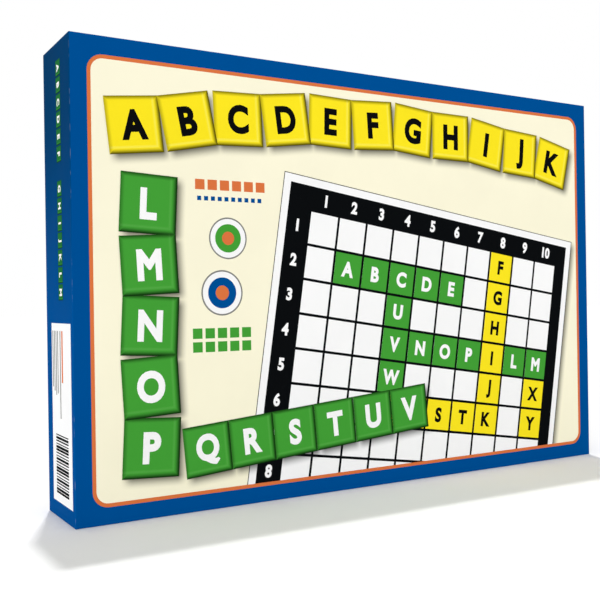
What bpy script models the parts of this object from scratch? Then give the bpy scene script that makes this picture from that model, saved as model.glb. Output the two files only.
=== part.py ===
"""Word board game in a closed cardboard box, standing on its long side.

The cover looks along -Y, +Z is up, and the origin is on the floor under the box's middle.
The lid telescopes right over the base tray. Under it lie the rules leaflet, the board folded
in half, and a formed insert that holds four racks and two sets of letter tiles.
"""
import math
import string

import bmesh
import bpy
from mathutils import Matrix, Vector

MM = 0.001

# The closed box
BOX_WIDTH = 372 * MM
BOX_DEPTH = 50 * MM
BOX_HEIGHT = 250 * MM
LID_WALL = 1.8 * MM        # greyboard with its paper wrap
BASE_WALL = 1.8 * MM
LID_FIT = 0.6 * MM         # air between the lid's walls and the base's, each side
LID_SHORT = 0.5 * MM       # the lid's rim stops this far before the base's back
CARD_EDGE = 0.4 * MM       # rounding of a wrapped greyboard edge
SEAT = 0.3 * MM            # gap between pieces that lie on each other

# The rules leaflet, one sheet folded once
LEAFLET_WIDTH = 210 * MM
LEAFLET_HEIGHT = 148 * MM
LEAFLET_SHEET = 0.2 * MM
LEAFLET_GAPE = 0.4 * MM    # between its two halves

# The board, two leaves hinged along their top edges
LEAF_THICKNESS = 2.0 * MM
LEAF_GAP = 0.3 * MM        # between the folded leaves, and between the open ones
LEAF_PLAY = 0.8 * MM       # beside the board, left and right, in the base
LEAF_HEADROOM = 1.3 * MM   # above the board in the base
LEAF_EDGE = 0.25 * MM
BOARD_COLUMNS = 13         # printed squares across the board
NUMBER_FRAME = 18.5 * MM   # printed band beside the squares, left and right

# Letter tiles
TILE_PLAY = 2 * MM         # a tile is this much smaller than the board's squares
TILE_THICKNESS = 4.5 * MM
TILE_CHAMFER = 1.4 * MM
TILE_CORNER = 1.3 * MM
TILE_COLUMNS = 6
TILE_ROWS = 4
TILE_CORNER_STEPS = 2

# Tile racks: a foot with a lip, a groove for the tiles and a leaning rest behind it
RACK_TILES = 6
RACK_END_PLAY = 4 * MM
RACK_FOOT = 26 * MM
RACK_HEIGHT = 18 * MM
RACK_LIP_WIDTH = 3 * MM
RACK_LIP_HEIGHT = 6 * MM
RACK_GROOVE = 5.4 * MM
RACK_GROOVE_FLOOR = 2.5 * MM
RACK_LEAN = 3.5 * MM       # how far the rest leans back over its height
RACK_CREST = 2.5 * MM
RACK_HEEL = 2 * MM
RACK_EDGE = 0.5 * MM
RACKS_IN_A_WELL = 2

# The formed insert: a thin sheet with wells and a skirt down to the base's panel
SHEET = 0.5 * MM
SHEET_BEND = 0.8 * MM
SHEET_BEND_STEPS = 2
WELL_RIM = 0.3 * MM        # tiles lie this far under the insert's face
RACK_RIM = 0.6 * MM
RACK_WELL_PLAY = 0.6 * MM  # past each end of a rack
FINGER_GAP = 14 * MM       # free stretch beside the tiles
TROUGH_WIDTH = 30 * MM     # finger trough across the middle of a rack well
RIB_WIDTH = 6 * MM         # stiffening grooves along the lands
RIB_DEPTH = 2 * MM
RIB_MARGIN = 24 * MM       # from a groove's end to the insert's side

# Where things are, from the front (-Y) to the back (+Y)
FRONT_Y = -BOX_DEPTH / 2
BACK_Y = BOX_DEPTH / 2
LID_INSIDE_Y = FRONT_Y + LID_WALL
LID_RIM_Y = BACK_Y - LID_SHORT
BASE_RIM_Y = LID_INSIDE_Y + SEAT
BASE_INSIDE_Y = BACK_Y - BASE_WALL
LEAFLET_THICKNESS = 2 * LEAFLET_SHEET + LEAFLET_GAPE
LEAFLET_FRONT_Y = LID_INSIDE_Y + SEAT
FRONT_LEAF_Y = LEAFLET_FRONT_Y + LEAFLET_THICKNESS + SEAT
REAR_LEAF_Y = FRONT_LEAF_Y + LEAF_THICKNESS + LEAF_GAP
FOLD_Y = REAR_LEAF_Y - LEAF_GAP / 2
INSERT_FACE_Y = REAR_LEAF_Y + LEAF_THICKNESS + SEAT
INSERT_DEPTH = BASE_INSIDE_Y - SEAT - INSERT_FACE_Y

# The base tray's room inside
BASE_WIDTH = BOX_WIDTH - 2 * (LID_WALL + LID_FIT)
BASE_HEIGHT = BOX_HEIGHT - 2 * (LID_WALL + LID_FIT)
ROOM_WIDTH = BASE_WIDTH - 2 * BASE_WALL
ROOM_HEIGHT = BASE_HEIGHT - 2 * BASE_WALL
ROOM_FLOOR_Z = (BOX_HEIGHT - ROOM_HEIGHT) / 2

# The folded board
LEAF_WIDTH = ROOM_WIDTH - 2 * LEAF_PLAY
LEAF_HEIGHT = ROOM_HEIGHT - SEAT - LEAF_HEADROOM
LEAF_TOP_Z = ROOM_FLOOR_Z + SEAT + LEAF_HEIGHT
FOLD_Z = LEAF_TOP_Z + LEAF_GAP / 2

# The tiles, which fit the squares printed on the board
SQUARE_SIZE = (LEAF_WIDTH - 2 * NUMBER_FRAME) / BOARD_COLUMNS
TILE_SIZE = SQUARE_SIZE - TILE_PLAY

# The insert and its wells
INSERT_WIDTH = ROOM_WIDTH - 2 * SEAT
INSERT_HEIGHT = ROOM_HEIGHT - 2 * SEAT
TILE_PITCH = TILE_SIZE + SEAT
RACK_LENGTH = RACK_TILES * TILE_SIZE + RACK_END_PLAY
TILE_WELL_WIDTH = TILE_COLUMNS * TILE_PITCH + SEAT + FINGER_GAP
TILE_WELL_HEIGHT = TILE_ROWS * TILE_PITCH + SEAT
TILE_WELL_DEPTH = WELL_RIM + TILE_THICKNESS + SEAT
RACK_WELL_WIDTH = RACK_LENGTH + 2 * RACK_WELL_PLAY
RACK_WELL_HEIGHT = RACKS_IN_A_WELL * (RACK_FOOT + SEAT) + SEAT
RACK_WELL_DEPTH = RACK_RIM + RACK_HEIGHT + SEAT
TROUGH_DEPTH = INSERT_DEPTH - SHEET
LAND_Z = (INSERT_HEIGHT - TILE_WELL_HEIGHT - RACK_WELL_HEIGHT) / 3
TILE_LAND_X = (INSERT_WIDTH - 2 * TILE_WELL_WIDTH) / 3
RACK_LAND_X = (INSERT_WIDTH - 2 * RACK_WELL_WIDTH) / 3
INSERT_FLOOR_Z = ROOM_FLOOR_Z + SEAT
RACK_WELL_Z = INSERT_FLOOR_Z + LAND_Z
TILE_WELL_Z = RACK_WELL_Z + RACK_WELL_HEIGHT + LAND_Z
LAND_MIDDLES_Z = [start + LAND_Z / 2 for start in
                  (INSERT_FLOOR_Z, RACK_WELL_Z + RACK_WELL_HEIGHT, TILE_WELL_Z + TILE_WELL_HEIGHT)]
RIB_REACH = INSERT_WIDTH / 2 - RIB_MARGIN


def clear_scene():
    for old in list(bpy.data.objects):
        bpy.data.objects.remove(old, do_unlink=True)


def new_collection(name):
    collection = bpy.data.collections.new(name)
    bpy.context.scene.collection.children.link(collection)
    return collection


def plain_material(name, colour, roughness, metallic=0.0):
    material = bpy.data.materials.new(name)
    material.use_nodes = True
    shader = material.node_tree.nodes["Principled BSDF"]
    shader.inputs["Base Color"].default_value = (*colour, 1.0)
    shader.inputs["Roughness"].default_value = roughness
    shader.inputs["Metallic"].default_value = metallic
    return material


def add_joint_empty(name, place, parent=None):
    """An empty on a joint's axis, which carries the pieces that move with it."""
    empty = bpy.data.objects.new(name, None)
    empty.empty_display_size = BASE_WALL
    COLLECTION.objects.link(empty)
    empty.parent = parent
    empty.location = place - world_place(parent)
    return empty


def world_place(node):
    place = Vector()
    while node is not None:
        place += node.location
        node = node.parent
    return place


def add_piece(name, mesh, place, material, parent):
    """One sub-part: its mesh, its place in the world and the empty that carries it."""
    piece = bpy.data.objects.new(name, mesh)
    COLLECTION.objects.link(piece)
    if not mesh.materials:
        mesh.materials.append(material)
    piece.parent = parent
    piece.location = place - world_place(parent)
    return piece


def finished_mesh(name, bm):
    bmesh.ops.recalc_face_normals(bm, faces=bm.faces)
    mesh = bpy.data.meshes.new(name)
    bm.to_mesh(mesh)
    bm.free()
    return mesh


def block(width, depth, height):
    """A box that runs from zero up in depth, and is centred in width and height."""
    bm = bmesh.new()
    bmesh.ops.create_cube(bm, size=1)
    bmesh.ops.scale(bm, vec=(width, depth, height), verts=bm.verts)
    bmesh.ops.translate(bm, vec=(0, depth / 2, 0), verts=bm.verts)
    return bm


def add_bevel(piece, width, steps):
    bevel = piece.modifiers.new("Rounded edges", "BEVEL")
    bevel.width = width
    bevel.segments = steps
    bevel.limit_method = "ANGLE"
    bevel.angle_limit = math.radians(30)
    return bevel


def add_wall(piece, thickness):
    """Gives an open surface its thickness, to the side that its normals point away from."""
    wall = piece.modifiers.new("Wall", "SOLIDIFY")
    wall.thickness = thickness
    wall.offset = -1
    wall.use_even_offset = True
    return wall


def card_tray(name, width, depth, height, wall, opens_to, place, material, parent):
    """A greyboard tray: one panel and four walls, open towards -Y or +Y."""
    bm = block(width, depth, height)
    bmesh.ops.translate(bm, vec=(0, -depth / 2, 0), verts=bm.verts)
    bm.normal_update()
    open_faces = [face for face in bm.faces if face.normal.y * opens_to > 0.5]
    bmesh.ops.delete(bm, geom=open_faces, context="FACES_ONLY")
    mesh = bpy.data.meshes.new(name)
    bm.to_mesh(mesh)
    bm.free()
    piece = add_piece(name, mesh, place, material, parent)
    add_wall(piece, wall)
    add_bevel(piece, CARD_EDGE, steps=2)
    return piece


def build_lid(parent):
    depth = LID_RIM_Y - FRONT_Y
    place = Vector((0, FRONT_Y + depth / 2, BOX_HEIGHT / 2))
    return card_tray(
        "lid_cover", BOX_WIDTH, depth, BOX_HEIGHT, LID_WALL, 1, place, LID_PAPER, parent)


def build_base(parent):
    depth = BACK_Y - BASE_RIM_Y
    place = Vector((0, BASE_RIM_Y + depth / 2, BOX_HEIGHT / 2))
    return card_tray(
        "base_tray", BASE_WIDTH, depth, BASE_HEIGHT, BASE_WALL, -1, place, BASE_PAPER, parent)


def build_leaflet(parent):
    """One sheet folded at its left edge, so that its section is a narrow U."""
    half_gape = LEAFLET_GAPE / 2
    half_out = LEAFLET_THICKNESS / 2
    left, right = -LEAFLET_WIDTH / 2, LEAFLET_WIDTH / 2
    bend_steps = 6

    def bend(radius):
        turns = [math.pi / 2 + math.pi * step / bend_steps for step in range(bend_steps + 1)]
        return [(left + half_out + radius * math.cos(turn), radius * math.sin(turn)) for turn in turns]

    outside = [(right, half_out)] + bend(half_out) + [(right, -half_out)]
    inside = [(right, -half_gape)] + bend(half_gape)[::-1] + [(right, half_gape)]
    bm = bmesh.new()
    section = [bm.verts.new((x, y, -LEAFLET_HEIGHT / 2)) for x, y in outside + inside]
    face = bm.faces.new(section)
    walls = bmesh.ops.extrude_face_region(bm, geom=[face])
    top = [item for item in walls["geom"] if isinstance(item, bmesh.types.BMVert)]
    bmesh.ops.translate(bm, vec=(0, 0, LEAFLET_HEIGHT), verts=top)
    place = Vector((0, LEAFLET_FRONT_Y + half_out, ROOM_FLOOR_Z + SEAT + LEAFLET_HEIGHT / 2))
    return add_piece("rules_leaflet", finished_mesh("rules_leaflet", bm), place, RULES_PAPER, parent)


def build_leaf(name, front_y, parent):
    bm = block(LEAF_WIDTH, LEAF_THICKNESS, LEAF_HEIGHT)
    place = Vector((0, front_y, LEAF_TOP_Z - LEAF_HEIGHT / 2))
    leaf = add_piece(name, finished_mesh(name, bm), place, BOARD_PAPER, parent)
    add_bevel(leaf, LEAF_EDGE, steps=1)
    return leaf


def faces_within(bm, x_range, z_range, y):
    """The faces at depth y whose middles lie inside a rectangle."""
    found = []
    for face in bm.faces:
        middle = face.calc_center_median()
        inside = x_range[0] < middle.x < x_range[1] and z_range[0] < middle.z < z_range[1]
        if inside and abs(middle.y - y) < SHEET / 2:
            found.append(face)
    return found


def sink(bm, faces, depth):
    """Presses a group of faces back by depth, with walls round it."""
    pressed = bmesh.ops.extrude_face_region(bm, geom=faces)
    moved = [item for item in pressed["geom"] if isinstance(item, bmesh.types.BMVert)]
    bmesh.ops.delete(bm, geom=faces, context="FACES")
    bmesh.ops.translate(bm, vec=(0, depth, 0), verts=moved)


def cut_across(bm, places, direction):
    """Cuts the sheet along a row of parallel planes."""
    for place in places:
        everything = bm.verts[:] + bm.edges[:] + bm.faces[:]
        bmesh.ops.bisect_plane(bm, geom=everything, plane_co=direction * place, plane_no=direction)


def well_starts(land, well_width):
    """The left edges of two wells side by side, with equal lands around them."""
    first = -INSERT_WIDTH / 2 + land
    return [first, first + well_width + land]


def build_insert(parent):
    """The formed sheet, drawn in the world's place with its face at INSERT_FACE_Y."""
    tile_wells = [(x, x + TILE_WELL_WIDTH) for x in well_starts(TILE_LAND_X, TILE_WELL_WIDTH)]
    rack_wells = [(x, x + RACK_WELL_WIDTH) for x in well_starts(RACK_LAND_X, RACK_WELL_WIDTH)]
    troughs = [(middle - TROUGH_WIDTH / 2, middle + TROUGH_WIDTH / 2)
               for middle in (sum(well) / 2 for well in rack_wells)]
    tile_z = (TILE_WELL_Z, TILE_WELL_Z + TILE_WELL_HEIGHT)
    rack_z = (RACK_WELL_Z, RACK_WELL_Z + RACK_WELL_HEIGHT)
    ribs_x = (-RIB_REACH, RIB_REACH)
    ribs_z = [(middle - RIB_WIDTH / 2, middle + RIB_WIDTH / 2) for middle in LAND_MIDDLES_Z]

    bm = bmesh.new()
    bmesh.ops.create_grid(bm, x_segments=1, y_segments=1, size=0.5)
    bmesh.ops.scale(bm, vec=(INSERT_WIDTH, INSERT_HEIGHT, 1), verts=bm.verts)
    bmesh.ops.rotate(bm, matrix=Matrix.Rotation(math.radians(90), 3, "X"), verts=bm.verts)
    middle_z = INSERT_FLOOR_Z + INSERT_HEIGHT / 2
    bmesh.ops.translate(bm, vec=(0, INSERT_FACE_Y, middle_z), verts=bm.verts)
    across = [x for span in tile_wells + rack_wells + troughs + [ribs_x] for x in span]
    upwards = [z for span in [tile_z, rack_z] + ribs_z for z in span]
    cut_across(bm, across, Vector((1, 0, 0)))
    cut_across(bm, upwards, Vector((0, 0, 1)))

    rim = [edge for edge in bm.edges if edge.is_boundary]
    skirt = bmesh.ops.extrude_edge_only(bm, edges=rim)
    skirt_foot = [item for item in skirt["geom"] if isinstance(item, bmesh.types.BMVert)]
    bmesh.ops.translate(bm, vec=(0, INSERT_DEPTH, 0), verts=skirt_foot)
    for well in tile_wells:
        sink(bm, faces_within(bm, well, tile_z, INSERT_FACE_Y), TILE_WELL_DEPTH)
    for well in rack_wells:
        sink(bm, faces_within(bm, well, rack_z, INSERT_FACE_Y), RACK_WELL_DEPTH)
    for trough in troughs:
        floor = faces_within(bm, trough, rack_z, INSERT_FACE_Y + RACK_WELL_DEPTH)
        sink(bm, floor, TROUGH_DEPTH - RACK_WELL_DEPTH)
    for rib_z in ribs_z:
        sink(bm, faces_within(bm, ribs_x, rib_z, INSERT_FACE_Y), RIB_DEPTH)
    bmesh.ops.dissolve_limit(bm, angle_limit=math.radians(1), verts=bm.verts, edges=bm.edges)

    bmesh.ops.translate(bm, vec=(0, -INSERT_FACE_Y, 0), verts=bm.verts)
    mesh = finished_mesh("insert_tray", bm)
    insert = add_piece("insert_tray", mesh, Vector((0, INSERT_FACE_Y, 0)), INSERT_PLASTIC, parent)
    add_bevel(insert, SHEET_BEND, SHEET_BEND_STEPS)
    add_wall(insert, SHEET)
    return insert


def tile_mesh(name, material):
    """A square tile with rounded corners and a broad chamfer round its face."""
    bm = block(TILE_SIZE, TILE_THICKNESS, TILE_SIZE)
    corners = [edge for edge in bm.edges
               if abs(edge.verts[0].co.y - edge.verts[1].co.y) > TILE_THICKNESS / 2]
    bmesh.ops.bevel(bm, geom=corners, offset=TILE_CORNER, segments=TILE_CORNER_STEPS,
                    affect="EDGES", profile=0.5)
    face_rim = [edge for edge in bm.edges
                if all(abs(vert.co.y) < TILE_CHAMFER / 2 for vert in edge.verts)]
    bmesh.ops.bevel(bm, geom=face_rim, offset=TILE_CHAMFER, segments=1, affect="EDGES", profile=0.5)
    mesh = finished_mesh(name, bm)
    mesh.materials.append(material)
    return mesh


def build_tiles(parent):
    """Two sets of tiles in alphabetical order, the yellow one on the left."""
    face_y = INSERT_FACE_Y + WELL_RIM
    starts = well_starts(TILE_LAND_X, TILE_WELL_WIDTH)
    tiles = []
    sets = (("yellow", YELLOW_PLASTIC, starts[0]), ("green", GREEN_PLASTIC, starts[1]))
    for colour, material, well_x in sets:
        mesh = tile_mesh(colour + "_tile", material)
        for number in range(TILE_COLUMNS * TILE_ROWS):
            row, column = divmod(number, TILE_COLUMNS)
            name = f"{colour}_tile_{string.ascii_lowercase[number]}"
            x = well_x + SEAT + column * TILE_PITCH + TILE_SIZE / 2
            z = TILE_WELL_Z + SEAT + (TILE_ROWS - 1 - row) * TILE_PITCH + TILE_SIZE / 2
            tiles.append(add_piece(name, mesh, Vector((x, face_y, z)), material, parent))
    return tiles


def rack_mesh():
    """The rack's section, extruded along X. It lies on its foot, which faces +Y."""
    rest_foot = RACK_LIP_WIDTH + RACK_GROOVE
    crest_front = rest_foot + RACK_LEAN
    section = [
        (0, 0),
        (RACK_FOOT, 0),
        (RACK_FOOT, RACK_HEEL),
        (crest_front + RACK_CREST, RACK_HEIGHT),
        (crest_front, RACK_HEIGHT),
        (rest_foot, RACK_GROOVE_FLOOR),
        (RACK_LIP_WIDTH, RACK_GROOVE_FLOOR),
        (RACK_LIP_WIDTH, RACK_LIP_HEIGHT),
        (0, RACK_LIP_HEIGHT),
    ]
    bm = bmesh.new()
    corners = [bm.verts.new((-RACK_LENGTH / 2, -height, across)) for across, height in section]
    face = bm.faces.new(corners)
    walls = bmesh.ops.extrude_face_region(bm, geom=[face])
    far_end = [item for item in walls["geom"] if isinstance(item, bmesh.types.BMVert)]
    bmesh.ops.translate(bm, vec=(RACK_LENGTH, 0, 0), verts=far_end)
    return finished_mesh("rack", bm)


def build_racks(parent):
    foot_y = INSERT_FACE_Y + RACK_WELL_DEPTH - SEAT
    mesh = rack_mesh()
    racks = []
    for well_x in well_starts(RACK_LAND_X, RACK_WELL_WIDTH):
        for level in range(RACKS_IN_A_WELL):
            z = RACK_WELL_Z + SEAT + level * (RACK_FOOT + SEAT)
            place = Vector((well_x + RACK_WELL_WIDTH / 2, foot_y, z))
            rack = add_piece(f"rack_{len(racks) + 1}", mesh, place, RACK_PLASTIC, parent)
            add_bevel(rack, RACK_EDGE, steps=1)
            racks.append(rack)
    return racks


clear_scene()
COLLECTION = new_collection("Word board game")
LID_PAPER = plain_material("Lid paper", (0.0, 0.079, 0.301), 0.35)
BASE_PAPER = plain_material("Base paper", (0.0, 0.06, 0.24), 0.4)
RULES_PAPER = plain_material("Rules paper", (0.85, 0.84, 0.8), 0.6)
BOARD_PAPER = plain_material("Board paper", (0.8, 0.8, 0.78), 0.4)
INSERT_PLASTIC = plain_material("Insert plastic", (0.02, 0.06, 0.18), 0.35)
RACK_PLASTIC = plain_material("Rack plastic", (0.9, 0.85, 0.66), 0.35)
YELLOW_PLASTIC = plain_material("Yellow plastic", (1.0, 0.83, 0.02), 0.3)
GREEN_PLASTIC = plain_material("Green plastic", (0.06, 0.39, 0.04), 0.3)

closed = Vector((0, FRONT_Y, BOX_HEIGHT / 2))
lid_way = add_joint_empty("lid_way", closed)
leaflet_way = add_joint_empty("leaflet_way", closed)
board_way = add_joint_empty("board_way", closed)
board_fold = add_joint_empty("board_fold", Vector((0, FOLD_Y, FOLD_Z)), board_way)
insert_way = add_joint_empty("insert_way", closed)
racks_way = add_joint_empty("racks_way", closed, insert_way)

build_base(None)
build_lid(lid_way)
build_leaflet(leaflet_way)
build_leaf("board_front_leaf", FRONT_LEAF_Y, board_way)
build_leaf("board_rear_leaf", REAR_LEAF_Y, board_fold)
build_insert(insert_way)
build_tiles(insert_way)
build_racks(racks_way)
bpy.context.view_layer.update()
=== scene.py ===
"""The looks of the word board game: its printed papers, plastics, camera and light.

All print is drawn flat on the floor, as thin closed plates sorted by ink, and is then laid on
the face that carries it. A drawing's x runs to the right, its y upwards and its z out of the face.
"""

import math
import string
from collections import namedtuple

import bpy
from mathutils import Matrix, Vector


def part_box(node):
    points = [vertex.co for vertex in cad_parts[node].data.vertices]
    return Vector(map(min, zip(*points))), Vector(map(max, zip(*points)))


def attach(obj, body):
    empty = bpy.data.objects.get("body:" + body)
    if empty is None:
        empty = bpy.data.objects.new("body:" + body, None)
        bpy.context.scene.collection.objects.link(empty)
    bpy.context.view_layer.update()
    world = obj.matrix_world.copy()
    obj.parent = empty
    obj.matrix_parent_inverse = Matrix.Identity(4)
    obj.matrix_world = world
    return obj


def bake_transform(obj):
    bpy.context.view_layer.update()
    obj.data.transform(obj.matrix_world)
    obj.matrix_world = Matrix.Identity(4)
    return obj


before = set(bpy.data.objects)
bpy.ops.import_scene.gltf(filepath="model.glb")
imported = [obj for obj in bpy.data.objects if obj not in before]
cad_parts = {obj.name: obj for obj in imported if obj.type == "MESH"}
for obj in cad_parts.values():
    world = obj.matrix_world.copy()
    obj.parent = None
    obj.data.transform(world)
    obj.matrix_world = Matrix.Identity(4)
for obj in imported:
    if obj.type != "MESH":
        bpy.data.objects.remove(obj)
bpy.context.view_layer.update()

MM = 0.001
LAYER = 0.04 * MM  # thickness of one plate, and the step from one level to the next
MERGE = 0.001 * MM  # points nearer than this are one
CORNER_SEGMENTS = 8
DISC_SIDES = 48
LETTER_CURVES = 5  # segments in each curve of a letter

# Faces that carry print, from the CAD
LID_LOW, LID_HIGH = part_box("lid_cover")
BASE_LOW, BASE_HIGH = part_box("base_tray")
LEAFLET_LOW, LEAFLET_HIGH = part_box("rules_leaflet")
FRONT_LEAF_LOW, FRONT_LEAF_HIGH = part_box("board_front_leaf")
REAR_LEAF_LOW, REAR_LEAF_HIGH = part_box("board_rear_leaf")
BOX_WIDTH = LID_HIGH.x - LID_LOW.x
BOX_HEIGHT = LID_HIGH.z - LID_LOW.z
MIDDLE_Z = (LID_LOW.z + LID_HIGH.z) / 2
LEAF_WIDTH = FRONT_LEAF_HIGH.x - FRONT_LEAF_LOW.x
LEAF_HEIGHT = FRONT_LEAF_HIGH.z - FRONT_LEAF_LOW.z
FOLD_Y = (FRONT_LEAF_HIGH.y + REAR_LEAF_LOW.y) / 2
FOLD_Z = FRONT_LEAF_HIGH.z + (REAR_LEAF_LOW.y - FRONT_LEAF_HIGH.y) / 2
FOLD = Vector((0, FOLD_Y, FOLD_Z))

# The camera, solved from the box's corners in the photograph
CAMERA_PLACE = Vector((-0.31091946, -0.45952604, 0.11278443))
CAMERA_AZIMUTH = math.radians(-30.64970084)
CAMERA_ELEVATION = math.radians(-0.07606724)
CAMERA_ROLL = math.radians(-0.84755293)
CAMERA_LENS = 52.43377
CAMERA_SENSOR = 36.0
CAMERA_NEAR = 0.01

# Floor and room: first the value that lights the object, then the one that the camera sees
FLOOR_WIDTH = 16
FLOOR_DROP = 0.05 * MM  # below the box's foot
FLOOR_TONE = (0.45, 0.95)
FLOOR_GLOW = (0.0, 0.07)
ROOM_STRENGTH = (0.5, 1.0)

# Colours in sRGB, as printed, but for the painted shade marked below
BLUE = (0, 79, 149)
# Painted shade on the box's short sides, and the darker thread of the board's cloth
SHADE_AND_CLOTH_BLUE = (0, 56, 98)
ORANGE = (222, 118, 66)
CREAM = (255, 250, 222)
WHITE = (253, 253, 253)
LEAFLET_WHITE = (246, 244, 236)
YELLOW = (255, 233, 36)
YELLOW_SHADE = (82, 76, 12)
YELLOW_LIGHT = (255, 244, 96)
GREEN = (68, 160, 56)
# A darker copy of GREEN, painted shade for the tiles on the short sides and the top
SHADED_GREEN = (34, 112, 56)
GREEN_SHADE = (16, 48, 14)
GREEN_LIGHT = (88, 172, 74)
BLACK = (12, 14, 16)
GREY = (130, 130, 126)
GREYBOARD = (150, 144, 134)
INSERT_BLUE = (24, 44, 92)
IVORY = (240, 229, 198)

# Paper, card and plastic
PAPER_SPECULAR = 0.001
PLASTIC_SPECULAR = 0.35
PAPER_BUMP = 0.25
PLASTIC_BUMP = 0.3
PRINT_FIBRE = 0.02 * MM  # depth of the fibre in printed paper
CARD_FIBRE = 0.03 * MM  # and in the paper that wraps card
CLOUDS = (0.3, 0.7)  # a noise is dark below the first and light above the second
CARD_WALL = 1.8 * MM
TURN_IN = 16 * MM  # the wrapping paper's width inside the rim
SIDE_SHADE_SKIN = (0.5 * MM, 0.2 * MM)  # the short sides' painted shade, a darker blue, comes in between these depths
SIDE_SHADE_RISE = (0.34, 0.9)  # and between these shares of the height
SIDE_SHADE_FRONT = 0.88  # how strong it is at the front, beside the back
WORN_EDGE = 0.45 * MM
RUBBED = (0.52, 0.7)  # between these a noise turns into rubbed patches
WEAR = 0.16  # how pale they are
SCUFFED = (0.5, 0.75)  # between these it turns into dull scuffs on plastic
SCUFFS = 0.18  # how dull they are
PRINT_REACH = 0.05 * MM  # a leaf's card is white within this of its printed face
WEAVE_PITCH = 0.7 * MM
WEAVE_DEPTH = 0.25

# The chamfers of a printed tile, in tile sizes
UPPER_CHAMFER = 0.09  # at the left and the top
LOWER_CHAMFER = 0.1  # at the right and the bottom
LEFT_SHADE = 0.5
TOP_SHADE = 0.82
GLINT = (0.08, 0.11, 0.15)  # the bright line's start, middle and end
GLINT_STRENGTH = 0.6

# Letters and lines
CAPITAL_SHARE = 0.682  # capital height to size, in the built-in font
BOLD_SHARE = 0.06  # how far an outline is moved out, to capital height
LETTER_NARROWING = 0.88
LETTER_SHARE = 0.53  # capital height to tile
SMALL_LETTER_SHARE = 0.55  # capital height to small tile
RUN_LETTER_SHARE = 0.5  # capital height to coloured square
NUMBER_SHARE = 0.36  # a number's height to the board's square
LAST_LINE = 0.6  # a block's last line to its others

# A place on the cover. The size is a square's side, or a width and a height
Spot = namedtuple("Spot", "x y turn size")
# A board's squares from line to line, the line, how many, and the band of its row numbers
Grid = namedtuple("Grid", "square line columns rows number_band")
# Small tiles in a row
Row = namedtuple("Row", "count tile pitch")

# The cover's panel
BORDER = 9 * MM
BORDER_TOP = 9.7 * MM
LINE_WIDTH = 2.0 * MM
PANEL_CORNER = 8.5 * MM

# The cover's arc, stack and rising row of tiles
ARC_TILES = 11
ARC_TILE = 30 * MM
ARC_PITCH = 30.6 * MM
ARC_RADIUS = 900 * MM
ARC_TOP = 219 * MM
ARC_TILT = math.radians(3.5)
ARC_LEVEL = 1
STACK_TILES = 5
STACK_TILE = 31.5 * MM
STACK_PITCH = 32 * MM
STACK_X = -145 * MM
STACK_FOOT = 37 * MM
STACK_TILT = math.radians(3)
ROW_TILES = 6
ROW_TILE = 27.5 * MM
ROW_PITCH = 27.6 * MM
ROW_START = (-113 * MM, 33 * MM)
ROW_RISE = math.radians(5)
GREEN_LEVEL = 7  # of the stack and the row, which lie over the board
SHADOW_SHIFT = 2.3 * MM  # to the right and down
SHADOW_BLUR = 3.6 * MM
SHADOW_DEPTH = 0.85

# The cover's board
BOARD_TURN = math.radians(-8.7)
BOARD_CORNER = (-62 * MM, 187 * MM)
COVER_GRID = Grid(square=20.2 * MM, line=1.6 * MM, columns=10, rows=9, number_band=15 * MM)
COVER_TOP_BAND = 14 * MM
COVER_RIGHT_BAND = 9 * MM
COVER_RIM = 4.5 * MM
COVER_EDGE = 0.45 * MM
FRAME_LEVEL = 3  # the rim and the edge lie below it, and the squares above
RUN_LEVEL = 5
# Runs of coloured squares: ink, first column, first row, across, down, count
RUNS = [
    ("green", 1, 1, 1, 0, 5),
    ("yellow", 7, 0, 0, 1, 6),
    ("green", 8, 3, 1, 0, 2),
    ("green", 4, 3, 1, 0, 3),
    ("yellow", 3, 5, 1, 0, 4),
    ("green", 3, 2, 0, 1, 3),
    ("yellow", 9, 4, 0, 1, 2),
]

# The cover's round badges: ink, radius and place, and each ring's share of the radius
BADGES = [
    ("green_marks", 11.5 * MM, -99 * MM, 148 * MM),
    ("blue_marks", 12.5 * MM, -103 * MM, 118 * MM),
]
RING_SHARES = (1, 0.93, 0.68, 0.32)
# Its small squares: ink, size, pitch, columns, rows, and the upper left one's place
MARKS = [
    ("orange_marks", 5.6 * MM, 7.4 * MM, 6, 1, -115.5 * MM, 177 * MM),
    ("blue_marks", 2.4 * MM, 4.1 * MM, 10, 1, -116 * MM, 169.5 * MM),
    ("green_marks", 5.6 * MM, 7.4 * MM, 5, 2, -118 * MM, 96 * MM),
]

# The short sides and the top. Forward is from the side's middle towards the cover
SIDE_TILE = 8.4 * MM
SIDE_PITCH = 9 * MM
SIDE_FORWARD = 4.4 * MM
SIDE_RUNS = ((236.3 * MM, 6), (173.2 * MM, 7))  # the first tile's height, and how many
TOP_ROW = Row(count=9, tile=16 * MM, pitch=17 * MM)
YELLOW_EVERY = 3  # in a row of small tiles
LABEL_LOW = 8.5 * MM
LABEL_HIGH = 103 * MM
LABEL_WIDTH = 35.8 * MM
LABEL_FORWARD = 3.4 * MM
LABEL_MARGIN = 4 * MM
# The label's plain lines: ink, forward, widths, pitch, thickness
LABEL_TEXT = [
    ("label_title", 5.5 * MM, [27 * MM], 0, 2.2 * MM),
    ("label_lines", 1.8 * MM, [46 * MM], 0, 1.4 * MM),
    ("label_lines", -2.8 * MM, [33 * MM, 34 * MM, 32 * MM, 30 * MM], 3.1 * MM, 1.35 * MM),
]
BARS = 20
BAR_HEIGHT = 44 * MM  # of the first bar, above the foot
BAR_PITCH = 1.6 * MM
BAR_LENGTH = 23 * MM
BAR_WIDTHS = (0.6 * MM, 1.3 * MM, 0.8 * MM, 0.6 * MM, 1.4 * MM, 1.2 * MM, 0.7 * MM)

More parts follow.
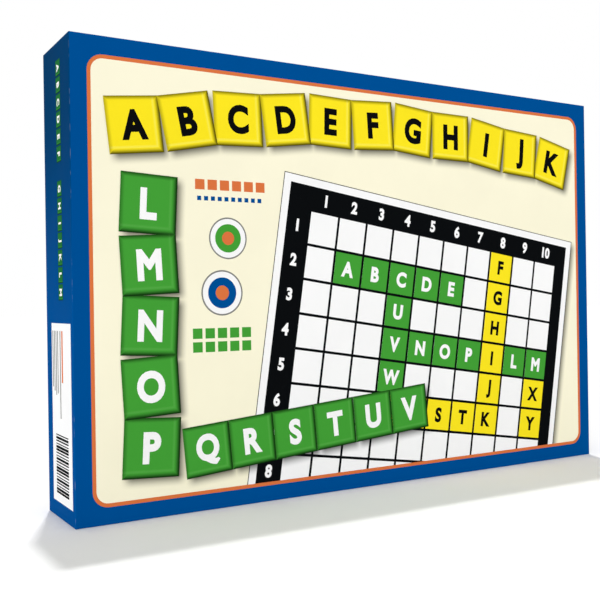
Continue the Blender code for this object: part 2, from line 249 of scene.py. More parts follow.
# The base's back
BACK_BORDER = 12 * MM
BACK_GRID = Grid(square=15.4 * MM, line=1.3 * MM, columns=9, rows=9, number_band=12 * MM)
BACK_TOP_BAND = 10 * MM
BACK_RIM = (6 * MM, 5 * MM)  # beside the board, and above and below it
BACK_GRID_PLACE = (30 * MM, 34 * MM)  # from the panel's left and top
BACK_GAP = 24 * MM  # between the squares and the lines
BACK_BLOCKS = 3
BACK_BLOCK_PITCH = 44 * MM
BACK_BLOCK_LINES = 6
BACK_LINE = 128 * MM
BACK_LINE_PITCH = 5.5 * MM
BACK_LINE_THICKNESS = 1.65 * MM
BACK_ROW = Row(count=6, tile=18 * MM, pitch=19 * MM)
BACK_ROW_HEIGHT = 26 * MM  # above the panel's foot

# The board: its inside, its outside and its fold
BOARD_RIM = 4 * MM
NUMBER_BAND = 18.5 * MM
BOARD_COLUMNS = 13
BOARD_SQUARE = (LEAF_WIDTH - 2 * NUMBER_BAND) / BOARD_COLUMNS
LEAF_GRID = Grid(square=BOARD_SQUARE, line=2 * MM, columns=BOARD_COLUMNS, rows=9,
                 number_band=NUMBER_BAND - BOARD_RIM)
LEAF_LINE_INSET = 8 * MM
LEAF_ROW = Row(count=9, tile=26 * MM, pitch=28 * MM)
LEAF_ROW_HEIGHT = 198 * MM
STRIP_WIDTH = 6 * MM
STRIP_LEVEL = 2

# The leaflet's front
LEAFLET_MARGIN = 12 * MM
LEAFLET_BAR = 6 * MM
LEAFLET_TEXT = 28 * MM  # below the top edge
LEAFLET_BLOCKS = ((0, 0, 6), (0, 38 * MM, 6), (0, 76 * MM, 6), (1, 0, 7))  # column, drop, lines
LEAFLET_LINE_PITCH = 5 * MM
LEAFLET_LINE_THICKNESS = 1.5 * MM
LEAFLET_SQUARES = (8.1 * MM, 9 * MM, 8, 7)  # size, pitch, columns, rows
LEAFLET_SQUARES_PLACE = (13 * MM, 74 * MM)  # from the second column, and below the top edge

TILES_OF_A_COLOUR = 24


def linear(colour):
    """sRGB numbers from 0 to 255 as linear light, with alpha."""
    def channel(value):
        value /= 255
        return value / 12.92 if value <= 0.04045 else ((value + 0.055) / 1.055) ** 2.4
    return (*(channel(value) for value in colour), 1.0)


# Node trees

def feed(tree, socket, value):
    """Sets a socket to a value, or links another node's output to it."""
    if isinstance(value, bpy.types.NodeSocket):
        tree.links.new(value, socket)
    else:
        socket.default_value = value


def add_node(tree, kind, inputs=None, **settings):
    """A new node. Each input is a value or another node's output."""
    made = tree.nodes.new(kind)
    for key, value in settings.items():
        setattr(made, key, value)
    for key, value in (inputs or {}).items():
        feed(tree, made.inputs[key], value)
    return made


def calculate(tree, operation, *values):
    inputs = dict(enumerate(values))
    return add_node(tree, "ShaderNodeMath", inputs, operation=operation).outputs[0]


def calculate_vector(tree, operation, *values):
    inputs = dict(enumerate(values))
    return add_node(tree, "ShaderNodeVectorMath", inputs, operation=operation).outputs[0]


def split_axes(tree, vector):
    return add_node(tree, "ShaderNodeSeparateXYZ", {0: vector}).outputs


def noise(tree, place, scale, detail):
    inputs = {"Vector": place, "Scale": scale, "Detail": detail}
    return add_node(tree, "ShaderNodeTexNoise", inputs).outputs["Fac"]


def fade(tree, value, start, end, low=0.0, high=1.0):
    """A smooth step of value, from low at start to high at end."""
    inputs = {"Value": value, "From Min": start, "From Max": end, "To Min": low, "To Max": high}
    step = add_node(tree, "ShaderNodeMapRange", inputs, interpolation_type="SMOOTHSTEP")
    return step.outputs["Result"]


def mix_colours(tree, share, first, second, blend="MIX"):
    inputs = {0: share, 6: first, 7: second}
    return add_node(tree, "ShaderNodeMix", inputs, data_type="RGBA", blend_type=blend).outputs[2]


def tint(tree, colour, clouds, darkest):
    """A colour that is darker where the clouds are dark."""
    shade = fade(tree, clouds, *CLOUDS, low=darkest)
    grey = add_node(tree, "ShaderNodeCombineColor", {"Red": shade, "Green": shade, "Blue": shade})
    return mix_colours(tree, 1.0, colour, grey.outputs["Color"], "MULTIPLY")


def new_group(name, inputs, outputs):
    """A shader node group with its sockets by name and kind, its entrance and its exit."""
    group = bpy.data.node_groups.new(name, "ShaderNodeTree")
    for way, sockets in (("INPUT", inputs), ("OUTPUT", outputs)):
        for socket, kind in sockets.items():
            group.interface.new_socket(socket, in_out=way, socket_type="NodeSocket" + kind)
    return group, group.nodes.new("NodeGroupInput").outputs, group.nodes.new("NodeGroupOutput").inputs


def use_group(tree, group, **inputs):
    """A group placed in a tree, with its inputs named in small letters. Gives its outputs."""
    made = tree.nodes.new("ShaderNodeGroup")
    made.node_tree = group
    for key, value in inputs.items():
        feed(tree, made.inputs[key.replace("_", " ").capitalize()], value)
    return made.outputs


def make_paper_grain():
    """Coated paper: a faint cloudy tint, and a fine fibre that shows in the gloss."""
    group, given, result = new_group(
        "Paper grain",
        {"Vector": "Vector", "Color": "Color"},
        {"Color": "Color", "Height": "Float", "Roughness": "Float"})
    clouds = noise(group, given["Vector"], scale=28.0, detail=3.0)
    feed(group, result["Color"], tint(group, given["Color"], clouds, darkest=0.975))
    feed(group, result["Height"], noise(group, given["Vector"], scale=1400.0, detail=2.0))
    feed(group, result["Roughness"], fade(group, clouds, *CLOUDS, low=0.42, high=0.52))
    return group


def make_soft_shadow():
    """The printed shadow of one square tile, as a mask, on the cover's plane."""
    group, given, result = new_group(
        "Soft shadow",
        {"Vector": "Vector", "Centre": "Vector", "Turn": "Float", "Half width": "Float",
         "Half height": "Float", "Blur": "Float"},
        {"Mask": "Float"})
    offset = calculate_vector(group, "SUBTRACT", given["Vector"], given["Centre"])
    turned = add_node(group, "ShaderNodeVectorRotate", {"Vector": offset, "Angle": given["Turn"]},
                      rotation_type="Y_AXIS").outputs[0]
    axes = split_axes(group, calculate_vector(group, "ABSOLUTE", turned))
    masks = []
    for axis, half in (("X", given["Half width"]), ("Z", given["Half height"])):
        start = calculate(group, "SUBTRACT", half, given["Blur"])
        end = calculate(group, "ADD", half, given["Blur"])
        masks.append(fade(group, axes[axis], start, end, low=1.0, high=0.0))
    feed(group, result["Mask"], calculate(group, "MULTIPLY", *masks))
    return group


def make_printed_bevel():
    """A tile drawn with mitred chamfers: shaded at the left, darker at the top and darkest at the
    right and bottom, behind a faint bright line. It reads the plate's own map, in tile sizes."""
    group, given, result = new_group(
        "Printed bevel",
        {"Vector": "Vector", "Face": "Color", "Shade": "Color", "Light": "Color"},
        {"Color": "Color"})
    from_left, from_foot, _ = split_axes(group, given["Vector"])
    from_right = calculate(group, "SUBTRACT", 1.0, from_left)
    from_top = calculate(group, "SUBTRACT", 1.0, from_foot)
    upper = calculate(group, "MINIMUM", from_left, from_top)
    lower = calculate(group, "MINIMUM", from_right, from_foot)
    at_top = calculate(group, "LESS_THAN", from_top, from_left)
    at_lower = calculate(group, "LESS_THAN", lower, upper)
    at_upper = calculate(group, "SUBTRACT", 1.0, at_lower)
    upper_depth = calculate(group, "MULTIPLY_ADD", at_top, TOP_SHADE - LEFT_SHADE, LEFT_SHADE)
    upper_fade = fade(group, upper, 0.0, UPPER_CHAMFER, low=1.0, high=0.0)
    lower_fade = fade(group, lower, 0.0, LOWER_CHAMFER, low=1.0, high=0.0)
    upper_shade = calculate(group, "MULTIPLY", upper_fade, upper_depth)
    upper_shade = calculate(group, "MULTIPLY", upper_shade, at_upper)
    lower_shade = calculate(group, "MULTIPLY", lower_fade, at_lower)
    start, middle, end = GLINT
    glint_in = fade(group, lower, start, middle)
    glint_out = fade(group, lower, middle, end, low=GLINT_STRENGTH, high=0.0)
    glint = calculate(group, "MULTIPLY", glint_in, glint_out)
    lit = mix_colours(group, glint, given["Face"], given["Light"])
    shade = calculate(group, "MAXIMUM", upper_shade, lower_shade)
    feed(group, result["Color"], mix_colours(group, shade, lit, given["Shade"]))
    return group


def make_box_edges():
    """How near a point is to the edges of a box, and whether it lies on the box's outside."""
    group, given, result = new_group(
        "Box edges",
        {"Vector": "Vector", "Centre": "Vector", "Half": "Vector", "Wall": "Float"},
        {"Edge": "Float", "Outside": "Float"})
    offset = calculate_vector(group, "SUBTRACT", given["Vector"], given["Centre"])
    folded = calculate_vector(group, "ABSOLUTE", offset)
    x, y, z = split_axes(group, calculate_vector(group, "SUBTRACT", given["Half"], folded))
    nearer = calculate(group, "MINIMUM", x, z)
    further = calculate(group, "MAXIMUM", x, z)
    second = calculate(group, "MAXIMUM", nearer, calculate(group, "MINIMUM", further, y))
    nearest = calculate(group, "MINIMUM", nearer, y)
    half_wall = calculate(group, "MULTIPLY", given["Wall"], 0.5)
    feed(group, result["Edge"], second)
    feed(group, result["Outside"], calculate(group, "LESS_THAN", nearest, half_wall))
    return group


def make_moulded():
    """Moulded plastic: a little unevenness, fine spark texture and scuffs in the gloss."""
    group, given, result = new_group(
        "Moulded plastic",
        {"Vector": "Vector", "Color": "Color", "Gloss": "Float"},
        {"Color": "Color", "Height": "Float", "Roughness": "Float"})
    patches = noise(group, given["Vector"], scale=45.0, detail=2.0)
    scuffs = noise(group, given["Vector"], scale=160.0, detail=5.0)
    dull = fade(group, scuffs, *SCUFFED, high=SCUFFS)
    feed(group, result["Color"], tint(group, given["Color"], patches, darkest=0.93))
    feed(group, result["Height"], noise(group, given["Vector"], scale=2200.0, detail=1.0))
    feed(group, result["Roughness"], calculate(group, "ADD", given["Gloss"], dull))
    return group


PAPER_GRAIN = make_paper_grain()
SOFT_SHADOW = make_soft_shadow()
PRINTED_BEVEL = make_printed_bevel()
BOX_EDGES = make_box_edges()
MOULDED = make_moulded()


# Materials

def new_material(name, specular=PAPER_SPECULAR):
    """A material with its tree, its shader and the object's own coordinates."""
    material = bpy.data.materials.new(name)
    material.use_nodes = True
    tree = material.node_tree
    shader = tree.nodes["Principled BSDF"]
    shader.inputs["Specular IOR Level"].default_value = specular
    place = add_node(tree, "ShaderNodeTexCoord").outputs["Object"]
    return material, tree, shader, place


def finish(tree, shader, skin, strength, depth):
    """Gives the shader a skin's colour, gloss and relief."""
    relief = {"Height": skin["Height"], "Strength": strength, "Distance": depth}
    bump = add_node(tree, "ShaderNodeBump", relief)
    feed(tree, shader.inputs["Base Color"], skin["Color"])
    feed(tree, shader.inputs["Roughness"], skin["Roughness"])
    feed(tree, shader.inputs["Normal"], bump.outputs["Normal"])


def finish_paper(tree, shader, place, colour, fibre=PRINT_FIBRE):
    finish(tree, shader, use_group(tree, PAPER_GRAIN, vector=place, color=colour), PAPER_BUMP, fibre)


def cast_shadows(tree, place, spots):
    """How much the printed shadows of these spots darken a point."""
    darkest = None
    for spot in spots:
        width, height = spot.size if isinstance(spot.size, tuple) else (spot.size, spot.size)
        centre = (spot.x + SHADOW_SHIFT, LID_LOW.y, spot.y - SHADOW_SHIFT)
        mask = use_group(tree, SOFT_SHADOW, vector=place, centre=centre, turn=spot.turn,
                         half_width=width / 2, half_height=height / 2, blur=SHADOW_BLUR)["Mask"]
        darkest = mask if darkest is None else calculate(tree, "MAXIMUM", darkest, mask)
    return calculate(tree, "MULTIPLY", darkest, SHADOW_DEPTH)


def printed_paper(name, colour, shadows=()):
    """Paper in one ink, with the printed shadows of these spots."""
    material, tree, shader, place = new_material(name)
    shown = linear(colour)
    if shadows:
        shown = mix_colours(tree, cast_shadows(tree, place, shadows), shown, linear(BLACK))
    finish_paper(tree, shader, place, shown)
    return material


def bevelled_print(name, face, shade, light):
    """Print of a chamfered tile, which follows each plate's own map."""
    material, tree, shader, place = new_material(name)
    own_map = add_node(tree, "ShaderNodeTexCoord").outputs["UV"]
    drawn = use_group(tree, PRINTED_BEVEL, vector=own_map, face=linear(face), shade=linear(shade),
                      light=linear(light))
    finish_paper(tree, shader, place, drawn["Color"])
    return material


def wrapped_card(name, low, high, opens_to):
    """Greyboard wrapped in blue paper, which turns in over the rim. The short sides are painted
    darker towards their top, as painted shade, and the edges are rubbed. `opens_to` is the open side,
    along y."""
    material, tree, shader, place = new_material(name)
    half = (high - low) / 2
    box = use_group(tree, BOX_EDGES, vector=place, centre=(low + high) / 2, half=half, wall=CARD_WALL)
    axes = split_axes(tree, place)
    along = calculate(tree, "MULTIPLY", axes["Y"], float(opens_to))
    rim = high.y if opens_to > 0 else -low.y
    turned_in = calculate(tree, "GREATER_THAN", along, rim - TURN_IN)
    papered = calculate(tree, "MAXIMUM", box["Outside"], turned_in)
    # Painted shade: the short sides turn a darker blue towards their top, a little less at the front
    inner, outer = (half.x - depth for depth in SIDE_SHADE_SKIN)
    foot, head = (high.z * share for share in SIDE_SHADE_RISE)
    side = fade(tree, calculate(tree, "ABSOLUTE", axes["X"]), inner, outer)
    rise = fade(tree, axes["Z"], foot, head)
    backward = fade(tree, axes["Y"], low.y, high.y, low=SIDE_SHADE_FRONT)
    depth = calculate(tree, "MULTIPLY", calculate(tree, "MULTIPLY", side, rise), backward)
    blue = mix_colours(tree, depth, linear(BLUE), linear(SHADE_AND_CLOTH_BLUE))
    rubbed = fade(tree, noise(tree, place, scale=170.0, detail=6.0), *RUBBED, high=WEAR)
    near_edge = fade(tree, box["Edge"], 0.0, WORN_EDGE, low=1.0, high=0.0)
    worn = mix_colours(tree, calculate(tree, "MULTIPLY", rubbed, near_edge), blue, linear(WHITE))
    finish_paper(tree, shader, place, mix_colours(tree, papered, linear(GREYBOARD), worn), CARD_FIBRE)
    return material


def board_card(name, printed_y):
    """A board leaf: white paper where the grid is printed, cloth-grained blue paper outside."""
    material, tree, shader, place = new_material(name)
    axes = split_axes(tree, place)
    away = calculate(tree, "ABSOLUTE", calculate(tree, "SUBTRACT", axes["Y"], printed_y))
    printed = calculate(tree, "LESS_THAN", away, PRINT_REACH)
    waves = [calculate(tree, "SINE", calculate(tree, "MULTIPLY", axes[axis], 2 * math.pi / WEAVE_PITCH))
             for axis in "XZ"]
    weave = fade(tree, calculate(tree, "MULTIPLY", *waves), -1.0, 1.0, high=WEAVE_DEPTH)
    cloth = mix_colours(tree, weave, linear(SHADE_AND_CLOTH_BLUE), linear(BLUE))
    finish_paper(tree, shader, place, mix_colours(tree, printed, cloth, linear(WHITE)), CARD_FIBRE)
    return material


def plastic(name, colour, gloss, spark, specular=PLASTIC_SPECULAR):
    """Moulded plastic. `spark` is the depth of its spark texture."""
    material, tree, shader, place = new_material(name, specular)
    skin = use_group(tree, MOULDED, vector=place, color=linear(colour), gloss=gloss)
    finish(tree, shader, skin, PLASTIC_BUMP, spark)
    return material


def dress(node, material):
    """Gives a CAD node its finish."""
    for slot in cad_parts[node].material_slots:
        slot.material = material


BLACK_INK = printed_paper("Black ink", BLACK)
GREY_INK = printed_paper("Grey ink", GREY)
WHITE_INK = printed_paper("White paper", WHITE)
CREAM_INK = printed_paper("Cream ink", CREAM)
ORANGE_INK = printed_paper("Orange ink", ORANGE)
YELLOW_INK = printed_paper("Yellow ink", YELLOW)
GREEN_INK = printed_paper("Green ink", GREEN)
BLUE_INK = printed_paper("Blue ink", BLUE)
YELLOW_TILE_INK = bevelled_print("Yellow tile print", YELLOW, YELLOW_SHADE, YELLOW_LIGHT)
GREEN_TILE_INK = bevelled_print("Green tile print", GREEN, GREEN_SHADE, GREEN_LIGHT)
# Painted shade: the tile print of the short sides and the top, in a darker green
SHADED_GREEN_TILE_INK = bevelled_print("Shaded green tile print", SHADED_GREEN, GREEN_SHADE, GREEN)

# The ink that each kind of plate is printed in, unless its drawing is laid with another one
INKS = {
    "panel": CREAM_INK,
    "line": ORANGE_INK,
    "yellow_tiles": YELLOW_TILE_INK,
    "green_tiles": GREEN_TILE_INK,
    "white_letters": WHITE_INK,
    "black_letters": BLACK_INK,
    "board_edge": BLACK_INK,
    "board_frame": BLACK_INK,
    "frame": BLACK_INK,
    "squares": WHITE_INK,
    "numbers": WHITE_INK,
    "green_squares": GREEN_INK,
    "yellow_squares": YELLOW_INK,
    "badge_rims": GREY_INK,
    "badge_fields": WHITE_INK,
    "orange_marks": ORANGE_INK,
    "green_marks": GREEN_INK,
    "blue_marks": BLUE_INK,
    "label": WHITE_INK,
    "label_title": ORANGE_INK,
    "label_lines": GREY_INK,
    "label_bars": BLACK_INK,
    "bars": BLUE_INK,
    "lines": GREY_INK,
    "grid": GREEN_INK,
}

STRIP_CLOTH = plastic("Hinge strip cloth", BLACK, gloss=0.6, spark=0.03 * MM, specular=PAPER_SPECULAR)
INSERT_PLASTIC = plastic("Insert plastic", INSERT_BLUE, gloss=0.28, spark=0.015 * MM, specular=0.4)
TILE_PLASTICS = {"yellow": plastic("Yellow plastic", YELLOW, gloss=0.28, spark=0.01 * MM),
                 "green": plastic("Green plastic", GREEN, gloss=0.28, spark=0.01 * MM)}
RACK_PLASTIC = plastic("Rack plastic", IVORY, gloss=0.3, spark=0.012 * MM)


# Drawing flat plates

def deselect_all():
    bpy.ops.object.select_all(action="DESELECT")


def pick(piece):
    """Selects a piece alone and makes it the active one."""
    deselect_all()
    piece.select_set(True)
    bpy.context.view_layer.objects.active = piece


def apply_place(piece):
    pick(piece)
    bpy.ops.object.transform_apply(location=True, rotation=True, scale=True)


def edit(piece):
    """Opens a piece's mesh, selected all over."""
    pick(piece)
    bpy.ops.object.mode_set(mode="EDIT")
    bpy.ops.mesh.select_all(action="SELECT")


def stop_editing():
    bpy.ops.object.mode_set(mode="OBJECT")


def thicken():
    """Raises the open outline by one layer and closes it."""
    bpy.ops.mesh.extrude_region_move(TRANSFORM_OT_translate={"value": (0, 0, LAYER)})
    stop_editing()


def outline(width, height, x=0.0, y=0.0, turn=0.0, level=0, corner=0.0):
    """A flat rectangle with rounded corners, left open for more work."""
    deselect_all()
    bpy.ops.mesh.primitive_plane_add(size=1, location=(x, y, level * LAYER), rotation=(0, 0, turn))
    piece = bpy.context.object
    piece.scale = (width, height, 1)
    apply_place(piece)
    edit(piece)
    if corner:
        bpy.ops.mesh.bevel(offset=corner, segments=CORNER_SEGMENTS, affect="VERTICES")
        bpy.ops.mesh.select_all(action="SELECT")
    return piece


def patch(width, height, x=0.0, y=0.0, turn=0.0, level=0, corner=0.0):
    """A rectangle of print."""
    piece = outline(width, height, x, y, turn, level, corner)
    thicken()
    return piece


def line_frame(width, height, y):
    """The orange line round a panel."""
    piece = outline(width, height, y=y, corner=PANEL_CORNER)
    bpy.ops.mesh.inset(thickness=LINE_WIDTH)
    bpy.ops.mesh.delete(type="FACE")
    bpy.ops.mesh.select_all(action="SELECT")
    thicken()
    return piece


def disc(radius, x, y, level):
    deselect_all()
    bpy.ops.mesh.primitive_circle_add(vertices=DISC_SIDES, radius=radius, fill_type="NGON",
                                      location=(x, y, level * LAYER))
    piece = bpy.context.object
    apply_place(piece)
    edit(piece)
    thicken()
    return piece


def grid_of_patches(size, pitch, columns, rows, x, y, level=0):
    """Equal squares in columns and rows, from the upper left one's middle."""
    piece = patch(size, size, x, y, level=level)
    for count, step in ((columns, (pitch, 0, 0)), (rows, (0, -pitch, 0))):
        array = piece.modifiers.new("Repeat", "ARRAY")
        array.count = count
        array.use_relative_offset = False
        array.use_constant_offset = True
        array.constant_offset_displace = step
        bpy.ops.object.modifier_apply(modifier=array.name)
    return piece


def lettering(text, capital, x=0.0, y=0.0, turn=0.0, level=0):
    """Bold plain letters or numbers, centred on their own outline."""
    deselect_all()
    bpy.ops.object.text_add()
    piece = bpy.context.object
    piece.data.body = text
    piece.data.size = capital * (1 - 2 * BOLD_SHARE) / CAPITAL_SHARE
    piece.data.bevel_depth = capital * BOLD_SHARE
    piece.data.bevel_resolution = 0
    piece.data.resolution_u = LETTER_CURVES
    bpy.ops.object.convert(target="MESH")
    bpy.ops.object.shade_flat()
    piece = bpy.context.object
    low, high = Vector(piece.bound_box[0]), Vector(piece.bound_box[6])
    flatten = Matrix.Diagonal((LETTER_NARROWING, 1, LAYER / (high.z - low.z), 1))
    middle = (level + 0.5) * LAYER
    place = Matrix.Translation((x, y, middle)) @ Matrix.Rotation(turn, 4, "Z")
    piece.matrix_world = place @ flatten @ Matrix.Translation(-(low + high) / 2)
    apply_place(piece)
    edit(piece)
    bpy.ops.mesh.remove_doubles(threshold=MERGE)
    bpy.ops.mesh.normals_make_consistent(inside=False)
    stop_editing()
    return piece


class Drawing:
    """Plates sorted by ink, which are laid together on one face."""

    def __init__(self):
        self.inks = {}

    def add(self, ink, piece):
        self.inks.setdefault(ink, []).append(piece)

    def turn(self, matrix):
        for pieces in self.inks.values():
            for piece in pieces:
                piece.matrix_world = matrix
                apply_place(piece)

    def trim_below(self, height, inks):
        """Cuts off what lies below a height, closes the cuts and drops the plates that are gone."""
        for ink in inks:
            for piece in list(self.inks[ink]):
                edit(piece)
                bpy.ops.mesh.bisect(plane_co=(0, height, 0), plane_no=(0, -1, 0), use_fill=True,
                                    clear_outer=True)
                stop_editing()
                if not piece.data.polygons:
                    self.inks[ink].remove(piece)
                    bpy.data.objects.remove(piece)

    def lay(self, name, face, body, slot, **other_inks):
        """Joins each ink's plates as one piece and puts it on its face."""
        for ink, pieces in self.inks.items():
            pick(pieces[0])
            for piece in pieces:
                piece.select_set(True)
            if len(pieces) > 1:
                bpy.ops.object.join()
            joined = bpy.context.view_layer.objects.active
            joined.matrix_world = face
            apply_place(joined)
            joined.name = f"{name}_{ink}"
            joined.data.name = joined.name
            joined.data.materials.clear()
            joined.data.materials.append({**INKS, **other_inks}[ink])
            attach(joined, body)


def facing(right, out, middle):
    """The place of a drawing on a face: its right, its outward side and its middle."""
    right, out = Vector(right), Vector(out)
    turned = Matrix((right, out.cross(right), out)).transposed().to_4x4()
    return Matrix.Translation(middle) @ turned


LID_FRONT = facing((1, 0, 0), (0, -1, 0), (0, LID_LOW.y, 0))
LID_LEFT = facing((0, 0, -1), (-1, 0, 0), (LID_LOW.x, 0, MIDDLE_Z))
LID_RIGHT = facing((0, 0, -1), (1, 0, 0), (LID_HIGH.x, 0, MIDDLE_Z))
LID_TOP = facing((1, 0, 0), (0, 0, 1), (0, 0, LID_HIGH.z))
BASE_BACK = facing((-1, 0, 0), (0, 1, 0), (0, BASE_HIGH.y, 0))
LEAFLET_FRONT = facing((1, 0, 0), (0, -1, 0), (0, LEAFLET_LOW.y, 0))
FRONT_LEAF_OUTSIDE = facing((1, 0, 0), (0, -1, 0), (0, FRONT_LEAF_LOW.y, 0))
REAR_LEAF_OUTSIDE = facing((-1, 0, 0), (0, 1, 0), (0, REAR_LEAF_HIGH.y, 0))
BOARD_INSIDE = facing((-1, 0, 0), (0, 1, 0), (0, FRONT_LEAF_HIGH.y, 0))


# What several faces share

def draw_panel(drawing, width, height, middle):
    """A cream panel with round corners inside its orange line."""
    drawing.add("line", line_frame(width, height, middle))
    drawing.add("panel", patch(width - 2 * LINE_WIDTH, height - 2 * LINE_WIDTH, 0, middle,
                               corner=PANEL_CORNER - LINE_WIDTH))


def draw_board(drawing, grid, left, top, level=0, first_row=1, top_band=None):
    """Squares with row numbers, and with column numbers where there is a band for them.
    `left` and `top` are the outer corner of the squares."""
    x = left + grid.square / 2
    y = top - grid.square / 2
    number = grid.square * NUMBER_SHARE
    drawing.add("squares", grid_of_patches(grid.square - grid.line, grid.square, grid.columns,
                                           grid.rows, x, y, level + 1))
    for row in range(grid.rows):
        drawing.add("numbers", lettering(str(first_row + row), number, left - grid.number_band / 2,
                                         y - row * grid.square, level=level + 1))
    if top_band is not None:
        for column in range(grid.columns):
            drawing.add("numbers", lettering(str(column + 1), number, x + column * grid.square,
                                             top + top_band / 2, level=level + 1))


def draw_small_tiles(drawing, places, y, size, level=0, yellow_every=0):
    """Small printed tiles at these places: green ones, with a yellow one at even steps if asked."""
    for number, (x, letter) in enumerate(zip(places, string.ascii_uppercase)):
        yellow = yellow_every and number % yellow_every == 0
        colour, letter_ink = ("yellow", "black_letters") if yellow else ("green", "white_letters")
        drawing.add(colour + "_tiles", patch(size, size, x, y, level=level))
        drawing.add(letter_ink, lettering(letter, size * SMALL_LETTER_SHARE, x, y, level=level + 1))


def draw_tile_row(drawing, row, middle, y, level=0):
    """An even row of small tiles in both colours, about its middle."""
    places = [middle + (number - (row.count - 1) / 2) * row.pitch for number in range(row.count)]
    draw_small_tiles(drawing, places, y, row.tile, level, YELLOW_EVERY)


def draw_lines(drawing, ink, x, y, widths, pitch, thickness):
    """Plain lines, flush left."""
    for number, width in enumerate(widths):
        drawing.add(ink, patch(width, thickness, x + width / 2, y - number * pitch, level=1))


def block_of_lines(width, count):
    """The widths of a block's lines, of which the last is short."""
    return [width] * (count - 1) + [LAST_LINE * width]


# The cover

def arc_spots():
    """Tiles along a shallow arc over the cover's whole width."""
    spots = []
    for number in range(ARC_TILES):
        angle = (number - (ARC_TILES - 1) / 2) * ARC_PITCH / ARC_RADIUS
        tilt = ARC_TILT if number % 2 else -ARC_TILT
        x = ARC_RADIUS * math.sin(angle)
        y = ARC_TOP - ARC_RADIUS * (1 - math.cos(angle))
        spots.append(Spot(x, y, tilt - angle, ARC_TILE))
    return spots


def green_spots():
    """A stack of tiles at the left, and a row that rises from its foot to the right."""
    spots = []
    for number in reversed(range(STACK_TILES)):
        tilt = STACK_TILT if number % 2 else -STACK_TILT
        spots.append(Spot(STACK_X, STACK_FOOT + number * STACK_PITCH, tilt, STACK_TILE))
    for number in range(ROW_TILES):
        x = ROW_START[0] + number * ROW_PITCH * math.cos(ROW_RISE)
        y = ROW_START[1] + number * ROW_PITCH * math.sin(ROW_RISE)
        spots.append(Spot(x, y, ROW_RISE, ROW_TILE))
    return spots


def draw_tiles(drawing, tile_ink, letter_ink, spots, letters, level):
    """A tile with its letter at each spot. Neighbours lie on alternate levels."""
    for number, (spot, letter) in enumerate(zip(spots, letters)):
        raised = level + number % 2
        capital = spot.size * LETTER_SHARE
        drawing.add(tile_ink, patch(spot.size, spot.size, spot.x, spot.y, spot.turn, raised))
        drawing.add(letter_ink, lettering(letter, capital, spot.x, spot.y, spot.turn, raised + 1))


def draw_runs(drawing, left, top):
    """Coloured squares with a letter each. Where two runs cross, the first one's square stays."""
    letters = iter(string.ascii_uppercase * 2)
    square = COVER_GRID.square
    size = square - COVER_GRID.line
    taken = set()
    for ink, column, row, across, down, count in RUNS:
        letter_ink = "white_letters" if ink == "green" else "black_letters"
        for step in range(count):
            cell = (column + step * across, row + step * down)
            if cell in taken:
                continue
            taken.add(cell)
            x = left + (cell[0] + 0.5) * square
            y = top - (cell[1] + 0.5) * square
            drawing.add(ink + "_squares", patch(size, size, x, y, level=RUN_LEVEL))
            drawing.add(letter_ink, lettering(next(letters), size * RUN_LETTER_SHARE, x, y,
                                              level=RUN_LEVEL + 1))


def draw_cover_board():
    """The cover's picture of a board, turned, and cut off at the panel's foot. Gives its spot too."""
    board = Drawing()
    left = COVER_RIM + COVER_GRID.number_band
    top = -COVER_RIM - COVER_TOP_BAND
    width = COVER_GRID.columns * COVER_GRID.square + COVER_GRID.number_band + COVER_RIGHT_BAND
    height = COVER_GRID.rows * COVER_GRID.square + COVER_TOP_BAND
    x = COVER_RIM + width / 2
    y = -COVER_RIM - height / 2
    margins = {"board_edge": COVER_RIM + COVER_EDGE, "board_rim": COVER_RIM, "board_frame": 0}
    for level, (ink, margin) in enumerate(margins.items(), start=FRAME_LEVEL - 2):
        board.add(ink, patch(width + 2 * margin, height + 2 * margin, x, y, level=level))
    draw_board(board, COVER_GRID, left, top, FRAME_LEVEL, top_band=COVER_TOP_BAND)
    draw_runs(board, left, top)
    place = Matrix.Translation((*BOARD_CORNER, 0)) @ Matrix.Rotation(BOARD_TURN, 4, "Z")
    board.turn(place)
    board.trim_below(BORDER + LINE_WIDTH, [*margins, "squares", "numbers"])
    middle = place @ Vector((x, y, 0))
    return board, Spot(middle.x, middle.y, BOARD_TURN, (width + 2 * COVER_RIM, height + 2 * COVER_RIM))


def draw_badges(drawing):
    """Two round badges of plain rings, from the rim inwards."""
    for ink, radius, x, y in BADGES:
        rings = zip(("badge_rims", "badge_fields", ink, "orange_marks"), RING_SHARES)
        for level, (ring, share) in enumerate(rings, start=1):
            drawing.add(ring, disc(radius * share, x, y, level))


def make_cover():
    cover, board_spot = draw_cover_board()
    yellow = arc_spots()
    green = green_spots()
    letters = string.ascii_uppercase
    draw_panel(cover, BOX_WIDTH - 2 * BORDER, BOX_HEIGHT - BORDER - BORDER_TOP,
               MIDDLE_Z + (BORDER - BORDER_TOP) / 2)
    draw_tiles(cover, "yellow_tiles", "black_letters", yellow, letters, ARC_LEVEL)
    draw_tiles(cover, "green_tiles", "white_letters", green, letters[ARC_TILES:], GREEN_LEVEL)
    draw_badges(cover)
    for ink, *squares in MARKS:
        cover.add(ink, grid_of_patches(*squares, level=1))
    cover.lay("cover", LID_FRONT, "lid", "lid_paper",
              panel=printed_paper("Cream ink with tile shadows", CREAM, yellow + green + [board_spot]),
              board_rim=printed_paper("Board rim with tile shadows", WHITE, green),
              squares=printed_paper("White squares with tile shadows", WHITE, green))


# The sides, the top and the back

def draw_side_tiles(side):
    places = []
    for start, count in SIDE_RUNS:
        places += [MIDDLE_Z - start + number * SIDE_PITCH for number in range(count)]
    draw_small_tiles(side, places, SIDE_FORWARD, SIDE_TILE)


